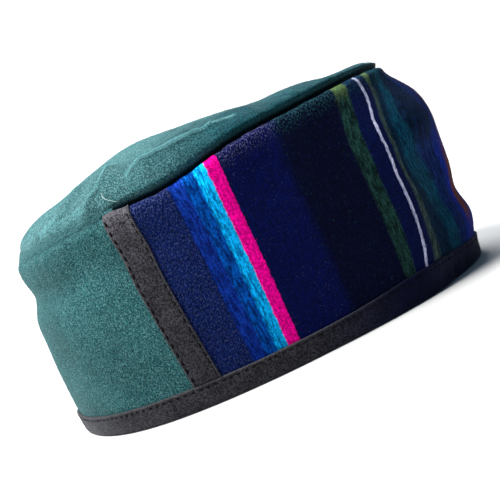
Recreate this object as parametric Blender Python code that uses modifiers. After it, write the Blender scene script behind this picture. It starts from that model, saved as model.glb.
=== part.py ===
"""A soft round beanie with a flat-sided band, modelled as the pieces that it is sewn from.

Metres, +Z up. The front faces -Y, the wearer's right side faces -X and the hem lies flat on z = 0.
Angles run round the cap from the middle of the front, through the -X side, to the middle of the back.
"""
from collections import namedtuple
from math import radians

import bpy
import numpy as np

# The band's outline, seen from above
FRONT_REACH = 0.1094
BACK_REACH = 0.0977
HALF_WIDTH = 0.0788
SQUARENESS = 2.38  # 2 is an ellipse, and more is nearer to a rectangle

# The seam between the band and the crown, above the floor
SEAM_FRONT = 0.1030
SEAM_SIDE = 0.0957
SEAM_BACK = 0.0851

# The crown above its seam
RISE_FRONT = -0.0042
RISE_MIDDLE = 0.0151
RISE_BACK = 0.0216
DOME_FULLNESS = 0.51  # 0.5 is round at the rim, and less is steeper
DOME_FALL = 1.50

# Cloth
WALL = 0.0020
GAP = 0.0003
BAND_FOLD = 0.0030  # inner radius where the band's top edge turns in
BAND_TURN = radians(86)
CROWN_FOLD = 0.0004  # inner radius where the crown's rim turns down
CROWN_INSET = 0.0040  # how far the crown's rim stands inside the band
CROWN_UPRIGHT = 0.0006  # short straight stretch at the foot of the crown's rim
BAND_BOW = 0.0012  # outward bow of the band at half height

# The hem binding, folded round the band's foot
HEM_HEIGHT = 0.0098
HEM_THICKNESS = 0.0010
HEM_BEND = 0.0013

# The tape over each slanted joint between the front and back panels
TAPE_WIDTH = 0.0120
TAPE_THICKNESS = 0.0008
TAPE_TURN = radians(50)
JOINT_ANGLE_FOOT = radians(125.9)
JOINT_ANGLE_TOP = radians(131.9)

# Spans of each surface
SPANS_FRONT = 48
SPANS_BACK = 26
SPANS_UP = 9
SPANS_FOLD = 4
SPANS_CROWN = 12
SPANS_TAPE = 4

# Dents and bulges of the band. The angle is in degrees, the height a share of the seam's height,
# and the push, which is outward, a share of HALF_WIDTH.
Dent = namedtuple("Dent", "angle height push angle_spread height_spread")
BAND_DENTS = [
    Dent(0, 1.02, -0.166, 44, 0.12),
    Dent(51, 0.50, 0.020, 7, 0.60),
    Dent(38, 0.34, -0.042, 9, 0.22),
    Dent(40, 0.73, 0.082, 14, 0.12),
    Dent(34, 0.00, -0.072, 20, 0.18),
    Dent(22, 0.36, -0.024, 16, 0.08),
    Dent(18, 0.20, 0.020, 16, 0.08),
    Dent(174, 0.83, -0.052, 48, 0.10),
    Dent(164, 1.02, -0.030, 30, 0.12),
    Dent(165, 0.00, -0.030, 20, 0.12),
    Dent(106, 0.60, 0.010, 10, 0.40),
    Dent(-40, 0.50, -0.030, 14, 0.30),
    Dent(-54, 0.50, 0.014, 10, 0.50),
    Dent(-150, 0.45, -0.018, 16, 0.30),
]

# Waves of the seam. The angle is in degrees and the lift a share of SEAM_SIDE.
Wave = namedtuple("Wave", "angle lift angle_spread")
SEAM_WAVES = [
    Wave(116, -0.019, 12),
    Wave(88, 0.008, 12),
    Wave(-75, -0.015, 20),
]

# Folds of the crown, each a ridge or a valley along a straight run. The ends are shares of
# HALF_WIDTH and of the reach, the lift a share of RISE_MIDDLE and the spread a share of HALF_WIDTH.
Fold = namedtuple("Fold", "x_from y_from x_to y_to lift spread")
CROWN_FOLDS = [
    Fold(-0.61, 0.80, -0.52, 0.57, 0.14, 0.08),
    Fold(-0.66, 0.55, -0.80, 0.22, 0.10, 0.09),
    Fold(-0.80, 0.22, -0.86, -0.10, 0.10, 0.09),
    Fold(-0.43, 0.90, -0.40, 0.70, 0.12, 0.08),
    Fold(-0.50, 0.82, -0.46, 0.66, -0.08, 0.07),
    Fold(-0.56, 0.46, -0.66, 0.05, -0.12, 0.10),
    Fold(-0.45, -0.02, 0.55, -0.02, -0.04, 0.30),
    Fold(-0.35, 0.30, 0.30, 0.24, 0.10, 0.16),
    Fold(-0.28, 0.70, 0.45, 0.70, -0.12, 0.12),
    Fold(0.62, 0.55, 0.70, -0.10, 0.06, 0.14),
]

WOOL_GREEN = (0.075, 0.260, 0.230)
STRIPED_NAVY = (0.012, 0.014, 0.050)
TAPE_GREY = (0.045, 0.043, 0.047)

CENTRE_Y = (FRONT_REACH - BACK_REACH) / 2
BAND_ROLL = BAND_FOLD + WALL
CROWN_ROLL = CROWN_FOLD + WALL
PANEL_FOOT = HEM_THICKNESS + GAP


def angle_between(angle, degrees):
    """Signed angle from a place on the outline, given in degrees, the short way round."""
    return (angle - radians(degrees) + np.pi) % (2 * np.pi) - np.pi


def seam_height(angle, share=1.0):
    """Height of the seam, carried smoothly across the cap from its rim (share 1) to its middle (0)."""
    lengthwise = (SEAM_FRONT + SEAM_BACK) / 2
    middle = (lengthwise + SEAM_SIDE) / 2
    tilt = (SEAM_FRONT - SEAM_BACK) / 2
    saddle = (lengthwise - SEAM_SIDE) / 2
    height = middle + tilt * share * np.cos(angle) + saddle * share**2 * np.cos(2 * angle)
    for wave in SEAM_WAVES:
        away = angle_between(angle, wave.angle) / radians(wave.angle_spread)
        height = height + wave.lift * SEAM_SIDE * np.exp(-(away**2)) * share**6
    return height


def outline_radius(angle):
    """Distance from the cap's axis to the band's outline."""
    reach = np.where(np.cos(angle) > 0, FRONT_REACH, BACK_REACH)
    lengthwise = (np.abs(np.cos(angle)) / reach) ** SQUARENESS
    crosswise = (np.abs(np.sin(angle)) / HALF_WIDTH) ** SQUARENESS
    return (lengthwise + crosswise) ** (-1 / SQUARENESS)


def band_relief(angle, height_share):
    """Push of the dents and bulges at a place on the band."""
    push = BAND_BOW * np.sin(np.pi * height_share)
    for dent in BAND_DENTS:
        across = (angle_between(angle, dent.angle) / radians(dent.angle_spread)) ** 2
        upward = ((height_share - dent.height) / dent.height_spread) ** 2
        push = push + dent.push * HALF_WIDTH * np.exp(-across - upward)
    return push


def ring_point(angle, height_share):
    """Plan position of the band's outer face, without its height."""
    radius = outline_radius(angle) + band_relief(angle, height_share)
    return np.stack([-radius * np.sin(angle), CENTRE_Y - radius * np.cos(angle)], axis=-1)


def outward(angle, height_share):
    """Unit vector square to the band's outline, in plan, that points away from the cap."""
    step = radians(0.5)
    along = ring_point(angle + step, height_share) - ring_point(angle - step, height_share)
    square = np.stack([-along[..., 1], along[..., 0]], axis=-1)
    return square / np.linalg.norm(square, axis=-1, keepdims=True)


def band_point(angle, height, turn=0.0, outset=0.0):
    """Point on the band at a height, or on its turned-in top edge where turn is above zero."""
    share = height / (seam_height(angle) - BAND_ROLL)
    reach = (BAND_ROLL + outset) * np.cos(turn) - BAND_ROLL
    plan = ring_point(angle, share) + outward(angle, share) * np.expand_dims(reach, -1)
    level = height + (BAND_ROLL + outset) * np.sin(turn)
    return np.concatenate([plan, np.expand_dims(level, -1)], axis=-1)


def joint_angle(height):
    """Angle of the slanted joint between the front and back panels, at a height."""
    share = height / SEAM_SIDE
    return JOINT_ANGLE_FOOT + (JOINT_ANGLE_TOP - JOINT_ANGLE_FOOT) * share


def arc_angle(angle, height, length):
    """Angle that spans a short length along the band's outline."""
    step = radians(0.5)
    share = height / (seam_height(angle) - BAND_ROLL)
    chord = ring_point(angle + step, share) - ring_point(angle - step, share)
    return length * 2 * step / np.linalg.norm(chord, axis=-1)


def band_rows(angles_at, last_turn, outset=0.0):
    """Rows of points from above the binding to the band's turned-in edge.

    angles_at gives a row's angles from its heights, which are first taken straight above the foot.
    """
    foot = HEM_HEIGHT + GAP
    rows = []
    for level in range(SPANS_UP + 1):
        share = level / SPANS_UP
        below = angles_at(foot)
        angles = angles_at(foot + (seam_height(below) - BAND_ROLL - foot) * share)
        height = foot + (seam_height(angles) - BAND_ROLL - foot) * share
        rows.append(band_point(angles, height, 0.0, outset))
    for level in range(1, SPANS_FOLD + 1):
        turn = last_turn * level / SPANS_FOLD
        rows.append(band_point(angles, height, turn, outset))
    return rows


def panel_rows(angles_at):
    """Rows of points for a panel, from its foot inside the binding to its turned-in edge."""
    foot_angles = angles_at(PANEL_FOOT)
    foot = band_point(foot_angles, np.full(len(foot_angles), PANEL_FOOT))
    return np.array([foot] + band_rows(angles_at, BAND_TURN))


def ring_angles(height):
    """Angles of a whole ring at a height, in line with the columns of the two panels."""
    joint = joint_angle(height)
    front = np.linspace(-joint, joint, SPANS_FRONT + 1)
    back = np.linspace(joint, 2 * np.pi - joint, SPANS_BACK + 1)
    return np.concatenate([front, back[1:-1]])


def crown_lift(x_share, y_share):
    """Height that the folds add to the crown at a place in plan."""
    lift = 0.0
    for fold in CROWN_FOLDS:
        start = np.array([fold.x_from, fold.y_from])
        run = np.array([fold.x_to, fold.y_to]) - start
        here = np.stack([x_share, y_share], axis=-1) - start
        along = np.clip(here @ run / (run @ run), 0.0, 1.0)
        away = np.linalg.norm(here - np.expand_dims(along, -1) * run, axis=-1)
        lift = lift + fold.lift * RISE_MIDDLE * np.exp(-((away / fold.spread) ** 2))
    return lift


def crown_point(angle, share, upright=CROWN_UPRIGHT):
    """Point on the crown's outer face, from its rim (share 1) to its middle (share 0)."""
    rim_plan = ring_point(angle, 1.0) - outward(angle, 1.0) * CROWN_INSET
    centre = np.array([0.0, CENTRE_Y])
    plan = centre + (rim_plan - centre) * np.expand_dims(share, -1)
    inward = np.linalg.norm(rim_plan - centre, axis=-1) * (1 - share)
    left = 1 - np.clip(inward / CROWN_ROLL, 0.0, 1.0)
    edge = CROWN_ROLL * np.sqrt(1 - left**2)
    lengthwise = -share * np.cos(angle)
    tilt = (RISE_BACK - RISE_FRONT) / 2
    bend = (RISE_BACK + RISE_FRONT) / 2 - RISE_MIDDLE
    rise = RISE_MIDDLE + tilt * lengthwise + bend * lengthwise**2
    dome = rise * (1 - share**DOME_FALL) ** DOME_FULLNESS
    lift = crown_lift(-share * np.sin(angle), lengthwise) * (1 - share**10)
    level = seam_height(angle, share) + GAP + upright + edge + dome + lift
    return np.concatenate([plan, np.expand_dims(level, -1)], axis=-1)


def cloth_material(name, colour):
    """Plain matt cloth."""
    material = bpy.data.materials.new(name)
    material.use_nodes = True
    shader = material.node_tree.nodes["Principled BSDF"]
    shader.inputs["Base Color"].default_value = (*colour, 1.0)
    shader.inputs["Roughness"].default_value = 0.9
    shader.inputs["Metallic"].default_value = 0.0
    return material


def add_sheet(collection, name, rows, thickness, material, closed=False, tip=None):
    """Loft a sheet through rows of points and thicken it towards the cap's inside."""
    levels, columns = rows.shape[:2]
    vertices = [tuple(point) for point in rows.reshape(-1, 3)]
    faces = []
    spans = columns if closed else columns - 1
    for level in range(levels - 1):
        low = level * columns
        high = low + columns
        for column in range(spans):
            after = (column + 1) % columns
            faces.append((low + column, high + column, high + after, low + after))
    if tip is not None:
        last = (levels - 1) * columns
        for column in range(columns):
            faces.append((last + column, len(vertices), last + (column + 1) % columns))
        vertices.append(tuple(tip))
    mesh = bpy.data.meshes.new(name)
    mesh.from_pydata(vertices, [], faces)
    mesh.shade_smooth()
    mesh.materials.append(material)
    sheet = bpy.data.objects.new(name, mesh)
    collection.objects.link(sheet)
    thicken = sheet.modifiers.new("Thickness", "SOLIDIFY")
    thicken.thickness = thickness
    thicken.offset = -1.0
    thicken.use_even_offset = True
    return sheet


def add_crown(collection, material):
    """The domed top, whose turned-down rim stands just above the band's turned-in edge."""
    angles = ring_angles(SEAM_SIDE)
    rows = [crown_point(angles, np.ones(len(angles)), upright=0.0)]
    for level in range(SPANS_CROWN):
        share = np.cos(np.pi / 2 * level / SPANS_CROWN)
        rows.append(crown_point(angles, np.full(len(angles), share)))
    tip = crown_point(np.zeros(1), np.zeros(1))[0]
    add_sheet(collection, "crown", np.array(rows), WALL, material, closed=True, tip=tip)


def add_front_panel(collection, material):
    """The striped stretch of the band, round the front from joint to joint."""
    across = np.linspace(-1, 1, SPANS_FRONT + 1)

    def angles_at(height):
        joint = joint_angle(height)
        return across * (joint - arc_angle(joint, height, GAP / 2))

    add_sheet(collection, "front_panel", panel_rows(angles_at), WALL, material)


def add_back_panel(collection, material):
    """The plain stretch of the band, round the back from joint to joint."""
    across = np.linspace(-1, 1, SPANS_BACK + 1)

    def angles_at(height):
        joint = joint_angle(height)
        return np.pi + across * (np.pi - joint - arc_angle(joint, height, GAP / 2))

    add_sheet(collection, "back_panel", panel_rows(angles_at), WALL, material)


def add_seam_tape(collection, name, side, material):
    """The tape over one joint, with side 1 on the wearer's right and -1 on the left."""
    across = np.linspace(-1, 1, SPANS_TAPE + 1)

    def angles_at(height):
        joint = side * joint_angle(height)
        return joint + across * arc_angle(joint, height, TAPE_WIDTH / 2)

    rows = band_rows(angles_at, TAPE_TURN, GAP + TAPE_THICKNESS)
    add_sheet(collection, name, np.array(rows), TAPE_THICKNESS, material)


def add_hem_binding(collection, material):
    """The binding folded round the band's foot, from its inner edge, under the foot, to its outer."""
    outer = GAP + HEM_THICKNESS
    inner = -(WALL + GAP + HEM_THICKNESS)
    diagonal = HEM_BEND * (1 - np.cos(radians(45)))
    section = [
        (inner, HEM_HEIGHT),
        (inner, HEM_BEND),
        (inner + diagonal, diagonal),
        (inner + HEM_BEND, 0.0),
        (outer - HEM_BEND, 0.0),
        (outer - diagonal, diagonal),
        (outer, HEM_BEND),
        (outer, HEM_HEIGHT),
    ]
    rows = []
    for outset, height in section:
        angles = ring_angles(height)
        rows.append(band_point(angles, np.full(len(angles), height), 0.0, outset))
    add_sheet(collection, "hem_binding", np.array(rows), HEM_THICKNESS, material, closed=True)


def build():
    for thing in list(bpy.data.objects):
        bpy.data.objects.remove(thing, do_unlink=True)
    collection = bpy.data.collections.new("beanie")
    bpy.context.scene.collection.children.link(collection)
    green_wool = cloth_material("green_wool", WOOL_GREEN)
    striped_wool = cloth_material("striped_wool", STRIPED_NAVY)
    tape_cloth = cloth_material("tape_cloth", TAPE_GREY)
    add_crown(collection, green_wool)
    add_front_panel(collection, striped_wool)
    add_back_panel(collection, green_wool)
    add_seam_tape(collection, "seam_tape_right", 1, tape_cloth)
    add_seam_tape(collection, "seam_tape_left", -1, tape_cloth)
    add_hem_binding(collection, tape_cloth)


build()
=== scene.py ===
"""The looks of a soft wool beanie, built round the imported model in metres.

The front faces -Y, the wearer's right side faces -X and the hem lies flat on z = 0. Angles run
round the cap from the middle of the front, through the -X side, to the middle of the back.
"""

from collections import namedtuple
from math import pi, radians

import bpy
import numpy as np
from mathutils import Matrix, Vector


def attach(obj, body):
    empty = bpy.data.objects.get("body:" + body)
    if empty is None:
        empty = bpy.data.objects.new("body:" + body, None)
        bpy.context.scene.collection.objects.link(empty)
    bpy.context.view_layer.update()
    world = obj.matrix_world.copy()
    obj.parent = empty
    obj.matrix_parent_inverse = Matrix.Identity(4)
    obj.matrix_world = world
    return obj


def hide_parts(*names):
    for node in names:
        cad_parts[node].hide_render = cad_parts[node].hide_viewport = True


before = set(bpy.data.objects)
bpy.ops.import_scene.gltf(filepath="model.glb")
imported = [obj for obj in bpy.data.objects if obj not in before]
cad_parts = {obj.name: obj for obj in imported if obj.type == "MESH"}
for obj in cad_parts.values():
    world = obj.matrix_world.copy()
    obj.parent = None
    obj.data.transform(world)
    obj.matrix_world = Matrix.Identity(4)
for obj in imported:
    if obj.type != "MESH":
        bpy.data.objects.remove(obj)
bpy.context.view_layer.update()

MM = 0.001
TINY = 1e-12

# The band's outline, seen from above
FRONT_REACH = 0.1094
BACK_REACH = 0.0977
HALF_WIDTH = 0.0788
SQUARENESS = 2.38
CENTRE_Y = (FRONT_REACH - BACK_REACH) / 2

# The seam between the band and the crown, above the floor
SEAM_FRONT = 0.1030
SEAM_SIDE = 0.0957
SEAM_BACK = 0.0851

# The crown above its seam
RISE_FRONT = -0.0042
RISE_MIDDLE = 0.0151
RISE_BACK = 0.0216
DOME_FULLNESS = 0.51
DOME_FALL = 1.50
SEAM_FADE = 6  # power of the share at which the seam's waves fade in from the rim
FOLD_FADE = 10  # power of the share at which folds and sags fade towards the rim

# Cloth
WALL = 0.0020
CROWN_SHEET = 0.0009
GAP = 0.0003
BAND_ROLL = 0.0030 + WALL
BAND_TURN = radians(86)
BAND_BOW = 0.0012
CROWN_ROLL = 0.0004 + WALL
CROWN_INSET = 0.0040
CROWN_UPRIGHT = 0.0006

# The hem binding, and the tapes over the slanted joints
HEM_HEIGHT = 0.0098
HEM_THICKNESS = 0.0010
HEM_BEND = 0.0013
HEM_RAISE = 0.0026
HEM_RAISE_ANGLE = 52
HEM_RAISE_SPREAD = 24
HEM_SOFT_LIFT = 0.00008
HEM_SOFT_LENGTH = 0.008
PANEL_FOOT = HEM_THICKNESS + GAP
TAPE_WIDTH = 0.0120
TAPE_THICKNESS = 0.0008
TAPE_TURN = radians(62)
EDGE_LINE = 0.0005
JOINT_ANGLE_FOOT = radians(125.9)
JOINT_ANGLE_TOP = radians(131.9)
JOINT_MARGIN = radians(3)
JOINT_FADE = radians(8)

# The crown's rim, drawn in at its foot and swelling out above it, mostly over the stripes
RIM_REACH = 0.012
RIM_TUCK = 0.0027
RIM_TUCK_BACK = 0.0003
RIM_TUCK_HEIGHT = 0.0018
RIM_DROP = 0.0034  # the crown's own turned-in edge goes down to the band's
RIM_BULGE = 0.0008
RIM_BULGE_HEIGHT = 0.0030
RIM_BULGE_SPREAD = 0.0016
# Painted shade in the fold of the crown's foot: its height, and its share over the plain back
RIM_SHADE_HEIGHT = 0.0008
RIM_SHADE_BACK = 0.25

# The band's turned-in edge, which sinks towards the seam
EDGE_DIP = 0.0015
EDGE_DIP_BACK = 0.0002
EDGE_DIP_REACH = 0.0050
SEAM_ALLOWANCE = 0.0030

# The lip of cloth in the back seam, and the fuzz that bridges it
SEAM_CORD_INSET = 0.0042
SEAM_CORD_RADIUS = 0.0013
SEAM_CORD_SIDES = 8
SEAM_FUZZ = 0.0004
SEAM_FUZZ_ROW = 6
SEAM_FUZZ_TURN = radians(52)
SEAM_FUZZ_MARGIN = radians(4)

# The rounded front end of the cap, where the crown hangs over the band
NOSE_ANGLE = -6
NOSE_SPREAD = 30
NOSE_BULGE = 0.0060
NOSE_ROUNDING = 0.0020
NOSE_FOOT = 0.45  # share of the bulge that the hidden lower row takes
NOSE_DROP = 0.0042
NOSE_DROP_HEIGHT = 0.0025
NOSE_SINK = 0.0036
NOSE_SINK_REACH = 0.008

# Where shade is painted on the crown's sides: this far in from the rim, and round from the front to an
# angle
SIDE_SHADE_REACH = 0.038
SIDE_SHADE_NOSE = 0.030
SIDE_SHADE_END = radians(136)
SIDE_SHADE_FADE = radians(44)

# Small folds: gathers beside the seams, and soft waves that fade out near the seams and the hem
PUCKER_LIFT = 0.00032
PUCKER_REACH = 0.0045
PUCKER_LENGTH = 0.0095
PUCKER_STRETCH = 0.3
CROWN_PUCKER_LIFT = 0.00036
CROWN_PUCKER_REACH = 0.0050
CROWN_SOFT_LIFT = 0.00055
CROWN_SOFT_LENGTH = 0.042
CROWN_SOFT_REACH = 0.014
BAND_SOFT_LIFT = 0.00030
BAND_SOFT_LENGTH = 0.034
BAND_SOFT_REACH = 0.012
CREASE_FADE = 0.18  # share of a crease's length over which each end fades

# Rows of stitches: how far each draws the cloth in, how far it lies from the edge, and how wide
Draw = namedtuple("Draw", "depth inset spread")
TAPE_BACK_DRAW = Draw(0.00022, 0.0012, 0.0005)
TAPE_FRONT_DRAW = Draw(0.00018, 0.0010, 0.0004)
HEM_DRAW = Draw(0.00020, 0.0012, 0.0006)

# Their stitches, each thread's radius, and the step over which a stitch's heading is measured
Stitch = namedtuple("Stitch", "pitch length")
TAPE_STITCH = Stitch(0.0040, 0.0026)
HEM_STITCH = Stitch(0.0034, 0.0021)
TAPE_BACK_THREAD = 0.00046
TAPE_FRONT_THREAD = 0.00028
HEM_THREAD = 0.00030
STITCH_SIDES = 6
STITCH_RINGS = 5
STITCH_STEP = 0.0005
STITCH_COLUMN = 2  # column of a tape's mesh, from either edge
STITCH_FREE_ROWS = 4  # at the top of a tape
HEM_STITCH_ROW = -3

# Fibres of the nap, and the stray curls
FIBRE_LENGTH = 0.0009
TAPE_FIBRE_LENGTH = 0.0007
FIBRE_WIDTH = 0.00006
FIBRE_RISE = 0.00010
FIBRE_RISE_RANGE = 0.00022
FIBRE_ROOT = 0.00005
CURL_RADIUS = 0.00009
CURL_SIDES = 5
CURL_SHIFT = (-0.00020, 0.0, 0.00035)

# Spans of the fine meshes
FRONT_COLUMNS = 350
BACK_COLUMNS = 150
CROWN_COLUMNS = 540
PANEL_ROWS = 84
FOLD_ROWS = 10
CROWN_ROWS = 84
CROWN_FOOT_ROWS = 2
JUST_INSIDE = 0.9999
TAPE_COLUMNS = 22
HEM_COLUMNS = 480
HEM_ROWS = 12
HEM_BEND_STEPS = 4
ARC_STEPS = 1440
ANGLE_STEP = radians(0.5)
FOOT_ROWS = 8  # rows of a panel under the binding, which carry no nap

# Dents and bulges of the band. The middle is in degrees round and as a share of the band's height,
# the push outward is a share of HALF_WIDTH, and the spreads are in the middle's own units.
Dent = namedtuple("Dent", "angle height push angle_spread height_spread")
BAND_DENTS = [
    Dent(0, 1.02, -0.166, 44, 0.12),
    Dent(51, 0.50, 0.020, 7, 0.60),
    Dent(38, 0.34, -0.042, 9, 0.22),
    Dent(40, 0.73, 0.082, 14, 0.12),
    Dent(34, 0.00, -0.072, 20, 0.18),
    Dent(22, 0.36, -0.024, 16, 0.08),
    Dent(18, 0.20, 0.020, 16, 0.08),
    Dent(174, 0.83, -0.052, 48, 0.10),
    Dent(164, 1.02, -0.030, 30, 0.12),
    Dent(165, 0.00, -0.030, 20, 0.12),
    Dent(106, 0.60, 0.010, 10, 0.40),
    Dent(-40, 0.50, -0.030, 14, 0.30),
    Dent(-54, 0.50, 0.014, 10, 0.50),
    Dent(-150, 0.45, -0.018, 16, 0.30),
]

# Waves of the seam, in degrees round, with the lift as a share of SEAM_SIDE
Wave = namedtuple("Wave", "angle lift angle_spread")
SEAM_WAVES = [
    Wave(116, -0.019, 12),
    Wave(88, 0.008, 12),
    Wave(-75, -0.015, 20),
]

# Soft folds of the crown. Each runs straight between two points in plan, as shares of HALF_WIDTH
# and of the reach. Its lift is a share of RISE_MIDDLE, and its spread is in the plan's shares.
Fold = namedtuple("Fold", "x_from y_from x_to y_to lift spread")
CROWN_FOLDS = [
    Fold(-0.61, 0.80, -0.52, 0.57, 0.14, 0.08),
    Fold(-0.66, 0.55, -0.80, 0.22, 0.10, 0.09),
    Fold(-0.80, 0.22, -0.86, -0.10, 0.10, 0.09),
    Fold(-0.43, 0.90, -0.40, 0.70, 0.12, 0.08),
    Fold(-0.50, 0.82, -0.46, 0.66, -0.08, 0.07),
    Fold(-0.56, 0.46, -0.66, 0.05, -0.12, 0.10),
    Fold(-0.45, -0.02, 0.55, -0.02, -0.04, 0.30),
    Fold(-0.35, 0.30, 0.30, 0.24, 0.10, 0.16),
    Fold(-0.28, 0.70, 0.45, 0.70, -0.12, 0.12),
    Fold(0.62, 0.55, 0.70, -0.10, 0.06, 0.14),
]

# Sharp creases in the crown. Each runs through points in plan, as shares of HALF_WIDTH and of the
# reach, and its lift and spread are in metres.
Crease = namedtuple("Crease", "lift spread path")
CREASES = [
    Crease(0.0022, 0.0026, [
        (-0.92, -0.05), (-0.91, 0.06), (-0.89, 0.16), (-0.86, 0.25), (-0.81, 0.34), (-0.77, 0.41),
        (-0.73, 0.47), (-0.73, 0.55),
    ]),
    Crease(0.0017, 0.0024, [(-0.52, 0.52), (-0.58, 0.59), (-0.64, 0.68), (-0.64, 0.76), (-0.59, 0.81)]),
    Crease(0.0007, 0.0030, [(-0.37, 0.66), (-0.44, 0.75), (-0.48, 0.81), (-0.44, 0.87), (-0.37, 0.91)]),
    Crease(-0.0009, 0.0024, [(-0.45, 0.62), (-0.57, 0.75), (-0.56, 0.81), (-0.53, 0.84)]),
    Crease(-0.0006, 0.0024, [(-0.67, 0.55), (-0.71, 0.62), (-0.70, 0.70)]),
    Crease(0.0006, 0.0030, [(0.88, -0.30), (0.90, 0.00), (0.84, 0.30), (0.70, 0.56)]),
    Crease(0.0005, 0.0030, [(0.30, -0.55), (0.10, -0.20), (0.18, 0.22)]),
]

# Shallow sags across the crown, each at a share of the reach, with its depth in metres
Sag = namedtuple("Sag", "y_share depth spread")
CROWN_SAGS = [
    Sag(-0.26, 0.0013, 0.09),
    Sag(-0.62, 0.0015, 0.08),
]

# Painted highlights along ridges of the crown, as strips of pale fibres: the strip's width in metres,
# its fibres, and its run in plan
RidgeHighlight = namedtuple("RidgeHighlight", "width count path")
RIDGE_HIGHLIGHTS = [
    RidgeHighlight(0.0016, 5200, CREASES[0].path),
    RidgeHighlight(0.0014, 2600, CREASES[1].path),
    RidgeHighlight(0.0012, 1300, CREASES[2].path),
    RidgeHighlight(0.0018, 3000, [(-0.62, 0.76), (-0.56, 0.81), (-0.50, 0.85), (-0.42, 0.89), (-0.30, 0.94)]),
]

# Curled stray fibres on the crown, through points in plan given in the same way
CURLS = [
    [(-0.690, 0.672), (-0.704, 0.680), (-0.720, 0.677), (-0.739, 0.665)],
    [(-0.739, 0.665), (-0.756, 0.651), (-0.766, 0.6415), (-0.7705, 0.637)],
    [(-0.20, 0.10), (-0.16, 0.16), (-0.10, 0.13), (-0.12, 0.06)],
    [(0.30, 0.52), (0.36, 0.50), (0.40, 0.44)],
]

# Where the woven stripes run, in mm round the band from the middle of the front. Each column is a
# stripe and gives its place at that height above the floor, in mm.
StripePath = namedtuple("StripePath", "height plain blue teal pale silver green magenta royal")
STRIPE_REST = StripePath(0, 50, 63, 74, 88.5, 95, 108, 171, 190.5)
STRIPE_PATHS = [
    StripePath(0, 50, 61, 70, 89.0, 98.2, 107.4, 170.2, 188.8),
    StripePath(14, 50, 62, 70, 89.0, 97.8, 107.4, 170.4, 189.2),
    StripePath(20, 50, 63, 71, 88.8, 96.4, 107.4, 170.5, 189.4),
    StripePath(30, 50, 64, 72, 88.2, 95.1, 107.4, 170.7, 189.8),
    StripePath(40, 50, 66, 78, 88.0, 94.8, 107.5, 170.8, 190.2),
    StripePath(50, 50, 70, 86, 89.6, 95.3, 107.9, 171.0, 190.5),
    StripePath(60, 50, 80, 90, 93.0, 96.9, 108.3, 171.2, 191.0),
    StripePath(65, 50, 82, 91, 94.5, 97.9, 108.5, 171.3, 191.3),
    StripePath(70, 50, 84, 92, 95.2, 98.5, 108.6, 171.4, 191.6),
    StripePath(75, 50, 84, 91, 94.4, 98.0, 108.2, 171.5, 192.0),
    StripePath(80, 50, 81, 88, 92.0, 96.8, 107.0, 171.7, 192.3),
    StripePath(85, 50, 76, 83, 88.2, 93.2, 105.2, 171.8, 192.7),
    StripePath(90, 50, 70, 77, 83.4, 89.5, 103.3, 171.9, 193.0),
    StripePath(95, 50, 64, 71, 79.0, 87.2, 101.2, 172.0, 193.2),
    StripePath(99, 50, 61, 68, 77.0, 87.4, 100.2, 172.1, 193.2),
]

# The woven pattern mirrors about one line. Each stripe ends at a distance from that line, in mm,
# blurs over some mm into the next, and is streaked by its yarns to some share.
MIRROR_LINE = 47
Stripe = namedtuple("Stripe", "end blur streak colour")
STRIPES = [
    Stripe(4.4, 0.9, 0.4, (0.075, 0.020, 0.018)),
    Stripe(8.5, 1.2, 0.6, (0.002, 0.012, 0.160)),
    Stripe(16.5, 2.5, 0.8, (0.002, 0.010, 0.065)),
    Stripe(27.5, 3.0, 0.8, (0.001, 0.031, 0.061)),
    Stripe(37.6, 2.0, 0.6, (0.001, 0.010, 0.028)),
    Stripe(42.8, 1.2, 1.0, (0.024, 0.044, 0.044)),
    Stripe(47.1, 0.3, 0.2, (0.001, 0.003, 0.034)),
    Stripe(48.8, 0.3, 0.3, (0.400, 0.410, 0.580)),
    Stripe(57.6, 0.6, 0.2, (0.001, 0.003, 0.034)),
    Stripe(64.6, 0.9, 1.0, (0.006, 0.026, 0.024)),
    Stripe(95.0, 3.0, 0.3, (0.0010, 0.0015, 0.014)),
    Stripe(121.2, 0.3, 0.3, (0.0004, 0.0025, 0.040)),
    Stripe(126.8, 0.3, 0.2, (0.640, 0.000, 0.215)),
    Stripe(128.4, 0.4, 0.3, (0.002, 0.300, 0.620)),
    Stripe(131.9, 0.6, 0.8, (0.001, 0.265, 0.590)),
    Stripe(137.3, 0.7, 0.9, (0.000, 0.042, 0.230)),
    Stripe(143.2, 0.5, 0.7, (0.002, 0.018, 0.170)),
    Stripe(176.0, 0.8, 0.3, (0.001, 0.006, 0.050)),
    Stripe(183.5, 0.6, 0.8, (0.012, 0.040, 0.020)),
    Stripe(191.0, 0.3, 0.2, (0.004, 0.004, 0.055)),
    Stripe(192.8, 0.3, 0.3, (0.400, 0.410, 0.580)),
    Stripe(204.0, 0.8, 0.3, (0.003, 0.013, 0.040)),
    Stripe(232.0, 2.0, 0.3, (0.004, 0.004, 0.022)),
    Stripe(300.0, 0.3, 0.3, (0.006, 0.009, 0.045)),
]

GREEN_DARK = (0.004, 0.028, 0.034)
GREEN_MID = (0.018, 0.086, 0.092)
GREEN_PALE = (0.120, 0.260, 0.260)
NAP_GREY = (0.120, 0.120, 0.220)
NAP_TEAL = (0.025, 0.130, 0.130)
NAP_OLIVE = (0.150, 0.240, 0.070)
NAP_HEATHER = (0.060, 0.078, 0.190)
# Painted light on the crown's top and back, and painted shade on its sides, as factors on its colour
CROWN_TOP_LIGHT = (1.45, 1.20, 1.20)
SIDE_SHADE_COLOUR = (0.09, 0.40, 0.50)
# Painted shade in the fold of the crown's foot
FOOT_SHADE_COLOUR = (0.05, 0.10, 0.16)
CURL_PALE = (0.420, 0.560, 0.540)
CHARCOAL = (0.016, 0.015, 0.017)
THREAD_BLACK = (0.003, 0.003, 0.004)
# Painted highlight along the binding cloth's edges
EDGE_PALE = (0.055, 0.055, 0.060)
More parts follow.
